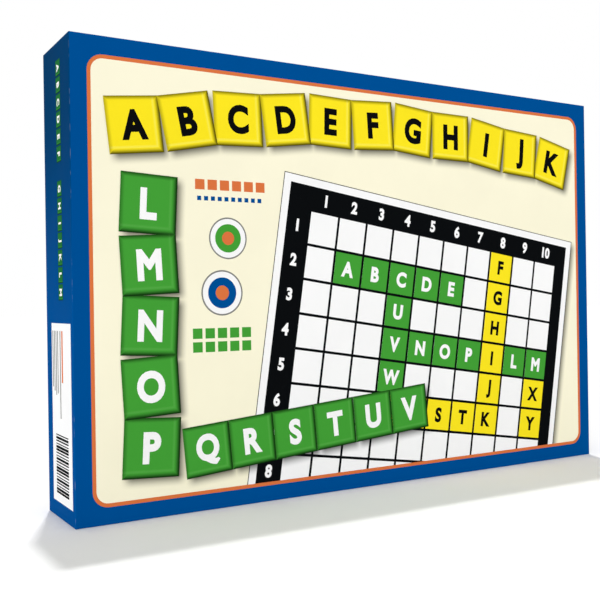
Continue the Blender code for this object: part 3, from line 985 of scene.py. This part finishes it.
def draw_label(side):
    """A bare label with plain bars and lines, which say nothing."""
    middle = MIDDLE_Z - (LABEL_LOW + LABEL_HIGH) / 2
    side.add("label", patch(LABEL_HIGH - LABEL_LOW, LABEL_WIDTH, middle, LABEL_FORWARD))
    start = MIDDLE_Z - LABEL_HIGH + LABEL_MARGIN
    for ink, forward, widths, pitch, thickness in LABEL_TEXT:
        draw_lines(side, ink, start, forward, widths, pitch, thickness)
    for number in range(BARS):
        width = BAR_WIDTHS[number % len(BAR_WIDTHS)]
        place = MIDDLE_Z - BAR_HEIGHT + number * BAR_PITCH
        side.add("label_bars", patch(width, BAR_LENGTH, place, LABEL_FORWARD, level=1))


def make_sides():
    """Tiles and the label on the left side, the same tiles on the right, and a row on the top."""
    left, right, top = Drawing(), Drawing(), Drawing()
    draw_side_tiles(left)
    draw_label(left)
    draw_side_tiles(right)
    draw_tile_row(top, TOP_ROW, middle=0, y=0)
    faces = (("left", LID_LEFT, left), ("right", LID_RIGHT, right), ("top", LID_TOP, top))
    for name, face, side in faces:
        # The green tiles here are printed in a darker copy of the green: painted shade
        side.lay(f"{name}_side", face, "lid", "lid_paper", green_tiles=SHADED_GREEN_TILE_INK)


def make_back():
    """The base's back: a cream panel with a small board, plain lines and a row of tiles."""
    back = Drawing()
    width = BASE_HIGH.x - BASE_LOW.x - 2 * BACK_BORDER
    height = BASE_HIGH.z - BASE_LOW.z - 2 * BACK_BORDER
    draw_panel(back, width, height, MIDDLE_Z)
    left = -width / 2 + BACK_GRID_PLACE[0]
    top = MIDDLE_Z + height / 2 - BACK_GRID_PLACE[1]
    squares = BACK_GRID.columns * BACK_GRID.square
    across = squares + BACK_GRID.number_band
    down = BACK_GRID.rows * BACK_GRID.square + BACK_TOP_BAND
    back.add("board_frame", patch(across + 2 * BACK_RIM[0], down + 2 * BACK_RIM[1],
                                  left - BACK_GRID.number_band + across / 2,
                                  top + BACK_TOP_BAND - down / 2, level=1))
    draw_board(back, BACK_GRID, left, top, level=1, top_band=BACK_TOP_BAND)
    start = left + squares + BACK_GAP
    for block in range(BACK_BLOCKS):
        draw_lines(back, "label_lines", start, top - block * BACK_BLOCK_PITCH,
                   block_of_lines(BACK_LINE, BACK_BLOCK_LINES), BACK_LINE_PITCH, BACK_LINE_THICKNESS)
    draw_tile_row(back, BACK_ROW, middle=start + BACK_ROW.count * BACK_ROW.pitch / 2,
                  y=MIDDLE_Z - height / 2 + BACK_ROW_HEIGHT, level=1)
    back.lay("back", BASE_BACK, "base", "base_paper")


# What the box holds

def make_tile_letters():
    """The letter on each moulded tile, in one printing for each colour."""
    for colour, ink in (("yellow", BLACK_INK), ("green", WHITE_INK)):
        letters = Drawing()
        for letter in string.ascii_lowercase[:TILES_OF_A_COLOUR]:
            low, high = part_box(f"{colour}_tile_{letter}")
            middle = (low + high) / 2
            capital = (high.x - low.x) * LETTER_SHARE
            letters.add("letters", lettering(letter.upper(), capital, middle.x, middle.z))
        # The faces of all tiles lie in one plane, so the last one's serves for all
        face = facing((1, 0, 0), (0, -1, 0), (0, low.y, 0))
        letters.lay(f"{colour}_tile", face, "insert", f"{colour}_plastic", letters=ink)


def make_board_print():
    """The grid on the leaves' inner faces. The rear leaf's half is drawn as it lies when the
    board is open, and then turned shut about the fold."""
    width = LEAF_WIDTH - 2 * BOARD_RIM
    height = LEAF_HEIGHT - BOARD_RIM
    left = -LEAF_GRID.columns * LEAF_GRID.square / 2
    lower = Drawing()
    lower.add("frame", patch(width, height, 0, FRONT_LEAF_HIGH.z - height / 2))
    draw_board(lower, LEAF_GRID, left, FOLD_Z, first_row=LEAF_GRID.rows + 1)
    lower.lay("board_front", BOARD_INSIDE, "board_front", "board_paper")
    upper = Drawing()
    foot = 2 * FOLD_Z - FRONT_LEAF_HIGH.z
    upper.add("frame", patch(width, height, 0, foot + height / 2))
    top = FOLD_Z + LEAF_GRID.rows * LEAF_GRID.square
    draw_board(upper, LEAF_GRID, left, top, top_band=foot + height - top)
    shut = Matrix.Translation(FOLD) @ Matrix.Rotation(math.pi, 4, "X") @ Matrix.Translation(-FOLD)
    upper.lay("board_rear", shut @ BOARD_INSIDE, "board_rear", "board_paper")


def make_board_cover():
    """The board's outside: a line round each leaf, and a row of tiles on the front one."""
    width = LEAF_WIDTH - 2 * LEAF_LINE_INSET
    height = LEAF_HEIGHT - 2 * LEAF_LINE_INSET
    middle = (FRONT_LEAF_LOW.z + FRONT_LEAF_HIGH.z) / 2
    for leaf, face in (("front", FRONT_LEAF_OUTSIDE), ("rear", REAR_LEAF_OUTSIDE)):
        outside = Drawing()
        if leaf == "front":
            draw_tile_row(outside, LEAF_ROW, middle=0, y=LEAF_ROW_HEIGHT)
        outside.add("line", line_frame(width, height, middle))
        outside.lay(f"board_{leaf}_cover", face, f"board_{leaf}", "board_paper")


def make_hinge_strip():
    """The cloth strip over the fold, flat when the board is open. It bends where the leaves meet."""
    strip = outline(LEAF_WIDTH - 2 * BOARD_RIM, STRIP_WIDTH, y=FOLD_Z, level=STRIP_LEVEL)
    bpy.ops.mesh.bisect(plane_co=(0, FOLD_Z, 0), plane_no=(0, 1, 0))
    bpy.ops.mesh.select_all(action="SELECT")
    thicken()
    strip.matrix_world = BOARD_INSIDE
    apply_place(strip)
    # The upper half is turned shut about the fold, and the bend between the halves goes half way
    for turn, low, high in ((-math.pi / 2, -MERGE, MERGE), (math.pi, MERGE, STRIP_WIDTH)):
        shut = Matrix.Translation(FOLD) @ Matrix.Rotation(turn, 4, "X")
        for vertex in strip.data.vertices:
            if low < vertex.co.z - FOLD_Z < high and abs(vertex.co.y - FOLD_Y) > MERGE:
                vertex.co = shut @ (vertex.co - FOLD)
    strip.name = "hinge_strip"
    strip.data.materials.append(STRIP_CLOTH)
    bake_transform(strip)


def make_leaflet_print():
    """The leaflet's front: a bar, two columns of plain lines and a small grid."""
    leaflet = Drawing()
    width = LEAFLET_HIGH.x - LEAFLET_LOW.x
    top = LEAFLET_HIGH.z
    columns = (LEAFLET_LOW.x + LEAFLET_MARGIN, LEAFLET_MARGIN / 2)
    column_width = (width - 3 * LEAFLET_MARGIN) / 2
    leaflet.add("bars", patch(width - 2 * LEAFLET_MARGIN, LEAFLET_BAR, 0, top - LEAFLET_MARGIN))
    for column, drop, count in LEAFLET_BLOCKS:
        draw_lines(leaflet, "lines", columns[column], top - LEAFLET_TEXT - drop,
                   block_of_lines(column_width, count), LEAFLET_LINE_PITCH, LEAFLET_LINE_THICKNESS)
    right, down = LEAFLET_SQUARES_PLACE
    leaflet.add("grid", grid_of_patches(*LEAFLET_SQUARES, columns[1] + right, top - down))
    leaflet.lay("leaflet", LEAFLET_FRONT, "leaflet", "rules_paper")


def dress_contents():
    """The finishes of the CAD nodes inside the box."""
    dress("rules_leaflet", printed_paper("Leaflet paper", LEAFLET_WHITE))
    dress("board_front_leaf", board_card("Front leaf card", FRONT_LEAF_HIGH.y))
    dress("board_rear_leaf", board_card("Rear leaf card", REAR_LEAF_LOW.y))
    dress("insert_tray", INSERT_PLASTIC)
    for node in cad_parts:
        if "_tile_" in node:
            dress(node, TILE_PLASTICS[node.split("_")[0]])
        elif node.startswith("rack_"):
            dress(node, RACK_PLASTIC)


# Camera, floor and light

def place_camera():
    flat = math.cos(CAMERA_ELEVATION)
    back = Vector((math.sin(CAMERA_AZIMUTH) * flat, -math.cos(CAMERA_AZIMUTH) * flat,
                   math.sin(CAMERA_ELEVATION)))
    right = (-back).cross(Vector((0, 0, 1))).normalized()
    up = right.cross(-back)
    level = Matrix((right, up, back)).transposed().to_4x4()
    camera = bpy.data.objects.new("camera", bpy.data.cameras.new("camera"))
    bpy.context.scene.collection.objects.link(camera)
    camera.data.lens = CAMERA_LENS
    camera.data.sensor_width = CAMERA_SENSOR
    camera.data.clip_start = CAMERA_NEAR
    camera.matrix_world = Matrix.Translation(CAMERA_PLACE) @ level @ Matrix.Rotation(CAMERA_ROLL, 4, "Z")
    bpy.context.scene.camera = camera


def add_sun(name, travel, strength, softness):
    """A lamp whose light travels along a direction. Its softness is in degrees."""
    sun = bpy.data.objects.new(name, bpy.data.lights.new(name, "SUN"))
    bpy.context.scene.collection.objects.link(sun)
    sun.data.energy = strength
    sun.data.angle = math.radians(softness)
    sun.rotation_mode = "QUATERNION"
    sun.rotation_quaternion = Vector(travel).to_track_quat("-Z", "Y")


def lit_and_seen(tree, lit, seen):
    """One value for light on its way, and one for what the camera sees, also through glass or in
    a gloss."""
    rays = add_node(tree, "ShaderNodeLightPath").outputs
    straight = calculate(tree, "MAXIMUM", rays["Is Camera Ray"], rays["Is Transmission Ray"])
    share = calculate(tree, "MAXIMUM", straight, rays["Is Glossy Ray"])
    inputs = {"Value": share, "To Min": lit, "To Max": seen}
    return add_node(tree, "ShaderNodeMapRange", inputs).outputs["Result"]


def light_room():
    """A white room, a lamp from above that casts the shadow, and a broad one from the front."""
    world = bpy.data.worlds.new("Studio")
    bpy.context.scene.world = world
    world.use_nodes = True
    background = world.node_tree.nodes["Background"].inputs
    background["Color"].default_value = (1, 1, 1, 1)
    feed(world.node_tree, background["Strength"], lit_and_seen(world.node_tree, *ROOM_STRENGTH))
    add_sun("back_light", travel=(-0.1, -0.253, -1), strength=1.4, softness=2)
    add_sun("front_light", travel=(0.72, 0.66, -0.12), strength=2.7, softness=25)


def add_floor():
    deselect_all()
    bpy.ops.mesh.primitive_plane_add(size=FLOOR_WIDTH, location=(0, 0, -FLOOR_DROP))
    floor = bpy.context.object
    floor.name = "floor"
    material, tree, shader, _ = new_material("Pale floor", specular=0.0)
    shader.inputs["Roughness"].default_value = 1.0
    feed(tree, shader.inputs["Base Color"], lit_and_seen(tree, *FLOOR_TONE))
    feed(tree, shader.inputs["Emission Strength"], lit_and_seen(tree, *FLOOR_GLOW))
    shader.inputs["Emission Color"].default_value = (1, 1, 1, 1)
    floor.data.materials.append(material)


dress_contents()
make_sides()
make_back()
make_tile_letters()
make_board_print()
make_board_cover()
make_hinge_strip()
make_leaflet_print()
dress("lid_cover", wrapped_card("Lid paper", LID_LOW, LID_HIGH, opens_to=1))
dress("base_tray", wrapped_card("Base paper", BASE_LOW, BASE_HIGH, opens_to=-1))
make_cover()
place_camera()
light_room()
add_floor()
bpy.context.scene.view_settings.view_transform = "Standard"
